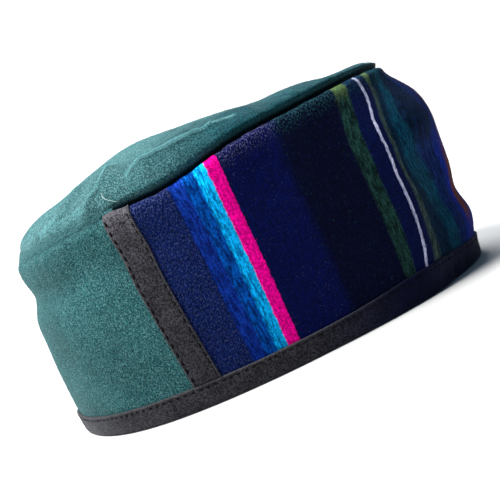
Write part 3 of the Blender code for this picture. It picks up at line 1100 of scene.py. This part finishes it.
def seam_fuzz_grid(grid):
    """Narrow grid that bridges the seam from the crown's rim to the back of the band."""
    angles = np.linspace(-pi, pi, CROWN_COLUMNS, endpoint=False) % (2 * pi)
    order = np.argsort(angles)
    order = order[np.abs(angles[order] - pi) < pi - JOINT_ANGLE_TOP - SEAM_FUZZ_MARGIN]
    angles = angles[order]
    top = grid[SEAM_FUZZ_ROW, order]
    low = band_point(angles, seam_height(angles) - BAND_ROLL, SEAM_FUZZ_TURN)
    return np.array([low, (low + top) / 2, top]) + level_outward(angles) * SEAM_FUZZ


def ridge_highlight_strip(grid, lit_ridge):
    """Narrow grid of points that follows a ridge of the crown."""
    line = smoothed(along_knots(lit_ridge.path, steps=16), passes=12)
    ahead = unit(np.gradient(line, axis=0))
    side = np.stack([ahead[:, 1], -ahead[:, 0]], axis=-1)
    rows = []
    for step in (-0.5, 0.0, 0.5):
        places = line + side * step * lit_ridge.width / HALF_WIDTH
        rows.append([on_crown(grid, x, y) for x, y in places])
    return np.array(rows)


def curl_piece(grid, material):
    """Stray fibres that lie curled on the crown."""
    vertices = []
    faces = []
    for curl in CURLS:
        line = [on_crown(grid, x, y) for x, y in along_knots(curl, steps=6)]
        line = smoothed(line, passes=3) + np.array(CURL_SHIFT)
        ahead = unit(np.gradient(line, axis=0))
        side = unit(np.cross(ahead, [0.0, 0.0, 1.0]))
        radii = np.full(len(line), CURL_RADIUS)
        add_tube(vertices, faces, line, side, np.cross(side, ahead), radii, CURL_SIDES)
    finish_mesh("crown_curls", vertices, faces, [material])


def tape_piece(name, side, material):
    """The tape over one joint, drawn in a little along the rows of stitches near its edges."""
    across = np.linspace(-1, 1, TAPE_COLUMNS + 1)

    def angles_at(height):
        joint = side * joint_angle(height)
        return joint + across * arc_angle(joint, height, TAPE_WIDTH / 2)

    outset = GAP + TAPE_THICKNESS
    grid, angles, heights, away = band_grid(angles_at, HEM_HEIGHT + GAP, TAPE_TURN, outset)
    inside = (1 - across * side) * TAPE_WIDTH / 2 + np.zeros_like(heights)
    lift = band_cloth_lift(angles, heights, away)
    lift = lift - drawn_in(inside, TAPE_BACK_DRAW) - drawn_in(TAPE_WIDTH - inside, TAPE_FRONT_DRAW)
    grid = raised(grid, lift)
    woven = np.stack([np.minimum(inside, TAPE_WIDTH - inside), heights], axis=-1)
    piece = sheet_piece(name, grid, woven, TAPE_THICKNESS, material)
    return piece, grid


def hem_piece(material):
    """The binding wrapped round the band's foot. Its top edge rises at the front of the right side."""
    angles = np.linspace(-pi, pi, HEM_COLUMNS, endpoint=False)
    outer = GAP + HEM_THICKNESS
    inner = -(WALL + GAP + HEM_THICKNESS)
    raise_here = bell(angle_between(angles, HEM_RAISE_ANGLE), radians(HEM_RAISE_SPREAD))
    top = HEM_HEIGHT + HEM_RAISE * raise_here
    bend = np.linspace(0.0, pi / 2, HEM_BEND_STEPS + 1)
    section = [(inner, top), (inner, top * 0.5)]
    for turn in bend:
        section.append((inner + HEM_BEND * (1 - np.cos(turn)), HEM_BEND * (1 - np.sin(turn))))
    for turn in bend:
        section.append((outer - HEM_BEND * (1 - np.sin(turn)), HEM_BEND * (1 - np.cos(turn))))
    for step in range(1, HEM_ROWS + 1):
        section.append((outer, HEM_BEND + (top - HEM_BEND) * step / HEM_ROWS))
    height = np.array([level + np.zeros(HEM_COLUMNS) for _, level in section])
    rows = []
    for (outset, _), level in zip(section, height):
        rows.append(band_point(angles, level, 0.0, outset))
    arc = arc_at(angles) + np.zeros_like(height)
    lift = HEM_SOFT_LIFT * waves(53, arc, height, HEM_SOFT_LENGTH) - drawn_in(top - height, HEM_DRAW)
    lift[:-HEM_ROWS] = 0.0
    grid = raised(np.array(rows), lift, closed=True)
    woven = np.stack([top - height, arc], axis=-1)
    piece = sheet_piece("hem_cloth", grid, woven, HEM_THICKNESS, material, True)
    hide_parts("hem_binding")
    return grid


def cells(grid):
    """First corners of a grid's cells, and their sides along the rows and up the columns."""
    corner = grid[:-1, :-1]
    parts = (corner, grid[:-1, 1:] - corner, grid[1:, :-1] - corner)
    return [part.reshape(-1, grid.shape[-1]) for part in parts]


def nap_piece(name, grids, slot, materials, pick, count, seed, length=FIBRE_LENGTH):
    """Short fibres that lie on the cloth in all directions. pick gives each one's material."""
    rng = np.random.default_rng(seed)
    vertices = []
    shades = []
    totals = []
    for grid, _ in grids:
        _, side, up = cells(grid)
        totals.append(np.linalg.norm(np.cross(up, side), axis=-1).sum())
    for (grid, woven), total in zip(grids, totals):
        wanted = int(count * total / sum(totals))
        corner, side, up = cells(grid)
        normal = np.cross(up, side)
        area = np.linalg.norm(normal, axis=-1)
        cell = rng.choice(len(area), wanted, p=area / area.sum())
        first = rng.uniform(0, 1, (wanted, 1))
        second = rng.uniform(0, 1, (wanted, 1))
        root = corner[cell] + side[cell] * first + up[cell] * second
        corner, across, along = cells(woven)
        place = corner[cell] + across[cell] * first + along[cell] * second
        out = unit(normal)[cell]
        one = unit(side[cell])
        two = np.cross(out, one)
        heading = rng.uniform(0, 2 * pi, (wanted, 1))
        bend = heading + rng.normal(0, 0.7, (wanted, 1))
        reach = length * rng.uniform(0.45, 1.5, (wanted, 1))
        rise = FIBRE_RISE + FIBRE_RISE_RANGE * rng.uniform(0, 1, (wanted, 1)) ** 2
        ahead = one * np.cos(heading) + two * np.sin(heading)
        middle = root + ahead * reach / 2 + out * rise
        tip = middle + (one * np.cos(bend) + two * np.sin(bend)) * reach / 2
        tip = tip + out * rise * rng.uniform(-0.6, 1.4, (wanted, 1))
        roll = rng.uniform(-1.2, 1.2, (wanted, 1))
        wide = np.cross(out, ahead) * np.cos(roll) + out * np.sin(roll)
        wide = wide * FIBRE_WIDTH / 2 * rng.uniform(0.6, 1.3, (wanted, 1))
        root = root - out * FIBRE_ROOT
        points = np.stack([root, middle + wide, tip, middle - wide], axis=1)
        vertices.append(points.reshape(-1, 3))
        shades.append(pick(rng, place))
    vertices = np.concatenate(vertices)
    faces = np.arange(len(vertices)).reshape(-1, 4)
    piece = finish_mesh(name, vertices.tolist(), faces.tolist(), materials)
    shades = np.concatenate(shades).astype(np.int32)
    piece.data.polygons.foreach_set("material_index", shades)
    piece.data.update()


def stitch_piece(name, paths, material, stitch):
    """Stitches along paths, each a short thick bead.

    A path has its points, their outward directions and the thread's radius.
    """
    rng = np.random.default_rng(71)
    vertices = []
    faces = []
    rings = np.arange(STITCH_RINGS)
    swell = np.sin(pi * (rings + 0.35) / (STITCH_RINGS - 0.3))
    for points, outs, thread in paths:
        steps = np.linalg.norm(np.diff(points, axis=0), axis=-1)
        run = np.concatenate([[0.0], np.cumsum(steps)])
        last_start = run[-1] - 1.4 * stitch.length
        for even_start in np.arange(stitch.pitch / 2, last_start, stitch.pitch):
            base = len(vertices)
            start = even_start + stitch.pitch * rng.uniform(-0.08, 0.08)
            radius = thread * rng.uniform(0.80, 1.25)
            at = start + stitch.length * rings / (STITCH_RINGS - 1)
            out = unit(interpolate(at, run, outs))
            ahead = interpolate(at + STITCH_STEP, run, points)
            along = unit(ahead - interpolate(at - STITCH_STEP, run, points))
            side = np.cross(along, out)
            middles = interpolate(at, run, points) + out * each(radius * (1.2 * swell - 0.9))
            radii = radius * (0.45 + 0.55 * swell)
            add_tube(vertices, faces, middles, side, out, radii, STITCH_SIDES)
            faces.append(tuple(reversed(range(base, base + STITCH_SIDES))))
            faces.append(tuple(range(len(vertices) - STITCH_SIDES, len(vertices))))
    finish_mesh(name, vertices, faces, [material])


def lightened(colour, factor, haze):
    return tuple(min(1.0, part * factor + haze) for part in colour)


def fibre_looks(name, colour, shades, sheen=0.0):
    looks = []
    for number, shade in enumerate(shades):
        looks.append(plain_look(f"{name}_{number}", lightened(colour, *shade), sheen))
    return looks


def pick_crown(rng, place):
    """Darker shades in the painted shade on the crown's sides and foot, and paler ones towards the back
    as painted light.
    """
    _, back, foot_shade, painted_side_shade = place.T
    level = rng.uniform(0, 1, len(place)) - 0.45 * painted_side_shade - 0.8 * foot_shade
    return np.searchsorted([0.22, 0.50, 0.78], level + 0.22 * clamp(back / 0.05))


# Only the palest shades: painted highlights on the ridges
def pick_ridge_highlight(rng, place):
    return rng.choice([3, 4], len(place), p=[0.4, 0.6])


def pick_fuzz(rng, place):
    return rng.choice(4, len(place), p=[0.15, 0.30, 0.33, 0.22])


def pick_back(rng, place):
    return rng.choice(4, len(place), p=[0.38, 0.34, 0.20, 0.08])


def pick_stripe(rng, place):
    """The stripe's own shade, or lint of another colour, which thickens towards the seam as painted
    light.
    """
    across = np.abs(place[:, 0] / MM - MIRROR_LINE)
    ends = [stripe.end for stripe in STRIPES]
    stripe = np.clip(np.searchsorted(ends, across), 0, len(STRIPES) - 1)
    chance = 0.05 + 0.55 * clamp(1 - place[:, 2] / NAP_DEPTH)
    grey_kind, teal_kind, olive_kind, heather_kind = range(len(STRIPES), len(STRIPES) + 4)
    kind = np.where(across > FIBRE_GREY_START, grey_kind, teal_kind)
    for start, end in FIBRE_OLIVE_RUNS:
        kind = np.where((across > start) & (across < end), olive_kind, kind)
    bright_start, bright_end = FIBRE_BRIGHT_RUN
    kind = np.where(across > bright_end, heather_kind, kind)
    chance = np.where(across > bright_end, np.maximum(chance, 0.20), chance)
    bright = (across > bright_start) & (across < bright_end)
    lint = (rng.uniform(0, 1, len(place)) < chance) & ~bright
    return np.where(lint, kind, stripe)


def pick_tape(rng, place):
    """Darker shades towards the front: painted shade."""
    front_shade = clamp((0.030 - place[:, 1]) / 0.060)
    return np.searchsorted([0.5, 0.9], rng.uniform(0, 1, len(place)) - 0.6 * front_shade)


def with_no_weave(grid):
    return [(grid, np.zeros_like(grid))]


def make_green_nap(crown_grid, crown_woven, back_grid, back_woven):
    greens = fibre_looks("green_nap", GREEN_MID, GREEN_SHADES, sheen=0.2)
    look = ("green_wool", greens)
    nap_piece("crown_nap", [(crown_grid, crown_woven)], *look, pick_crown, count=76000, seed=61)
    # Pale fibres along the crown's ridges: painted highlights
    for number, lit_ridge in enumerate(RIDGE_HIGHLIGHTS):
        name = f"crown_ridge_nap_{number}"
        strip = with_no_weave(ridge_highlight_strip(crown_grid, lit_ridge))
        nap_piece(name, strip, *look, pick_ridge_highlight, count=lit_ridge.count, seed=65 + number)
    fuzz = with_no_weave(seam_fuzz_grid(crown_grid))
    nap_piece("seam_nap", fuzz, *look, pick_fuzz, count=14000, seed=70)
    band = [(back_grid[FOOT_ROWS:-1], back_woven[FOOT_ROWS:-1])]
    nap_piece("back_nap", band, *look, pick_back, count=42000, seed=62)


def make_striped_nap(grid, woven):
    looks = []
    for number, stripe in enumerate(STRIPES):
        looks.append(plain_look(f"stripe_nap_{number}", lightened(stripe.colour, *STRIPE_SHADE)))
    for name, colour in FIBRE_LOOKS.items():
        looks.append(plain_look(f"stripe_nap_{name}", colour))
    band = [(grid[FOOT_ROWS:-1], woven[FOOT_ROWS:-1])]
    nap_piece("front_nap", band, "striped_wool", looks, pick_stripe, count=84000, seed=63)


def make_tape_nap(grids):
    greys = fibre_looks("tape_nap", CHARCOAL, TAPE_SHADES)
    placed = [(grid, grid[..., :2]) for grid in grids]
    length = TAPE_FIBRE_LENGTH
    nap_piece("tape_nap", placed, "tape_cloth", greys, pick_tape, count=16000, seed=64, length=length)


def make_stitches(right_grid, left_grid, hem_grid):
    """One row of stitches near each edge of a tape, and one under the binding's top edge."""
    thread = plain_look("thread", THREAD_BLACK)
    paths = []
    near, far = STITCH_COLUMN, TAPE_COLUMNS - STITCH_COLUMN
    for grid, back, front in ((right_grid, far, near), (left_grid, near, far)):
        normals = normals_of(grid, False)
        for column, radius in ((back, TAPE_BACK_THREAD), (front, TAPE_FRONT_THREAD)):
            rows = slice(-STITCH_FREE_ROWS)
            paths.append((grid[rows, column], normals[rows, column], radius))
    stitch_piece("tape_stitches", paths, thread, TAPE_STITCH)
    normals = normals_of(hem_grid, True)
    rows = [part[HEM_STITCH_ROW] for part in (hem_grid, normals)]
    ring = [np.concatenate([row, row[:1]]) for row in rows]
    stitch_piece("hem_stitches", [(*ring, HEM_THREAD)], thread, HEM_STITCH)


def make_cloth():
    # The crown's copy of the green felt has more pale flecks than the band's: painted light on the
    # crown's lit top
    crown_green = green_felt("crown_felt", sheen=0.13, pale=0.68, painted_side_shade=True)
    green = green_felt("green_felt", sheen=0.08, pale=0.50, painted_side_shade=False)
    striped = striped_felt()
    tape = tape_felt()
    crown_grid, crown_woven = crown_piece(crown_green)
    seam_cord(green)
    curl_piece(crown_grid, plain_look("stray_fibre", CURL_PALE))
    front, front_grid, front_woven = panel("front_cloth", front_angles, striped)
    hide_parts("front_panel")
    back, back_grid, back_woven = panel("back_cloth", back_angles, green)
    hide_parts("back_panel")
    hem_grid = hem_piece(tape)
    right, right_grid = tape_piece("tape_right_cloth", 1, tape)
    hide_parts("seam_tape_right")
    left, left_grid = tape_piece("tape_left_cloth", -1, tape)
    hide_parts("seam_tape_left")
    make_stitches(right_grid, left_grid, hem_grid)
    make_green_nap(crown_grid, crown_woven, back_grid, back_woven)
    make_striped_nap(front_grid, front_woven)
    make_tape_nap([right_grid, left_grid, hem_grid[-HEM_ROWS:]])


def area_light(name, place, target, size, power, colour=(1.0, 1.0, 1.0)):
    data = bpy.data.lights.new(name, "AREA")
    data.shape = "DISK"
    data.size = size
    data.energy = power
    data.color = colour
    light = bpy.data.objects.new(name, data)
    bpy.context.scene.collection.objects.link(light)
    light.location = place
    heading = Vector(target) - Vector(place)
    light.rotation_euler = heading.to_track_quat("-Z", "Y").to_euler()


def make_floor():
    """A pale floor that sweeps up behind the cap."""
    nodes = Nodes("floor_paper")
    grain = nodes.noise(nodes.place(), size=0.02)
    nodes.set("Base Color", nodes.mix(grain, grey(0.50), grey(0.53)))
    nodes.set("Roughness", 0.9)
    nodes.set("Specular IOR Level", 0.1)
    profile = [(-FLOOR_REACH, 0.0)]
    for turn in np.linspace(0.0, pi / 2, SWEEP_STEPS + 1):
        x = SWEEP_START + SWEEP_RADIUS * np.sin(turn)
        profile.append((x, SWEEP_RADIUS * (1 - np.cos(turn))))
    profile.append((SWEEP_START + SWEEP_RADIUS, SWEEP_HEIGHT))
    vertices = []
    for x, z in profile:
        vertices += [(x, -FLOOR_REACH, z), (x, FLOOR_REACH, z)]
    faces = []
    for low in range(0, len(vertices) - 2, 2):
        faces.append((low, low + 1, low + 3, low + 2))
    mesh = bpy.data.meshes.new("floor")
    mesh.from_pydata(vertices, [], faces)
    mesh.shade_smooth()
    mesh.materials.append(nodes.material)
    floor = bpy.data.objects.new("floor", mesh)
    floor.location = (0, 0, -FLOOR_DROP)
    bpy.context.scene.collection.objects.link(floor)


def make_lights():
    """Soft studio lights, with a blue fill from all round."""
    world = bpy.data.worlds.new("studio")
    world.use_nodes = True
    background = world.node_tree.nodes["Background"]
    background.inputs["Color"].default_value = FILL_COLOUR
    background.inputs["Strength"].default_value = FILL_STRENGTH
    bpy.context.scene.world = world
    area_light("key", KEY_PLACE, KEY_TARGET, KEY_SIZE, KEY_POWER, KEY_COLOUR)
    area_light("sweep_light", SWEEP_LIGHT_PLACE, SWEEP_LIGHT_TARGET, SWEEP_LIGHT_SIZE, SWEEP_POWER)


def make_camera():
    """The photograph's viewpoint, rolled as the photograph is."""
    level_reach = np.cos(CAMERA_ELEVATION)
    back = Vector((
        np.sin(CAMERA_AZIMUTH) * level_reach,
        -np.cos(CAMERA_AZIMUTH) * level_reach,
        np.sin(CAMERA_ELEVATION),
    ))
    level = (-back).cross(Vector((0, 0, 1))).normalized()
    upright = level.cross(-back)
    right = level * np.cos(CAMERA_ROLL) + upright * np.sin(CAMERA_ROLL)
    up = upright * np.cos(CAMERA_ROLL) - level * np.sin(CAMERA_ROLL)
    data = bpy.data.cameras.new("photo_view")
    data.sensor_width = CAMERA_SENSOR_MM
    data.lens = CAMERA_LENS_MM
    data.shift_x = CAMERA_SHIFT_X
    data.shift_y = CAMERA_SHIFT_Y
    camera = bpy.data.objects.new("photo_view", data)
    bpy.context.scene.collection.objects.link(camera)
    turn = Matrix((right, up, back)).transposed().to_4x4()
    turn.translation = Vector(CAMERA_TARGET) + back * CAMERA_DISTANCE
    camera.matrix_world = turn
    bpy.context.scene.camera = camera


make_camera()
make_floor()
make_lights()
make_cloth()
bpy.context.scene.view_settings.view_transform = "Standard"
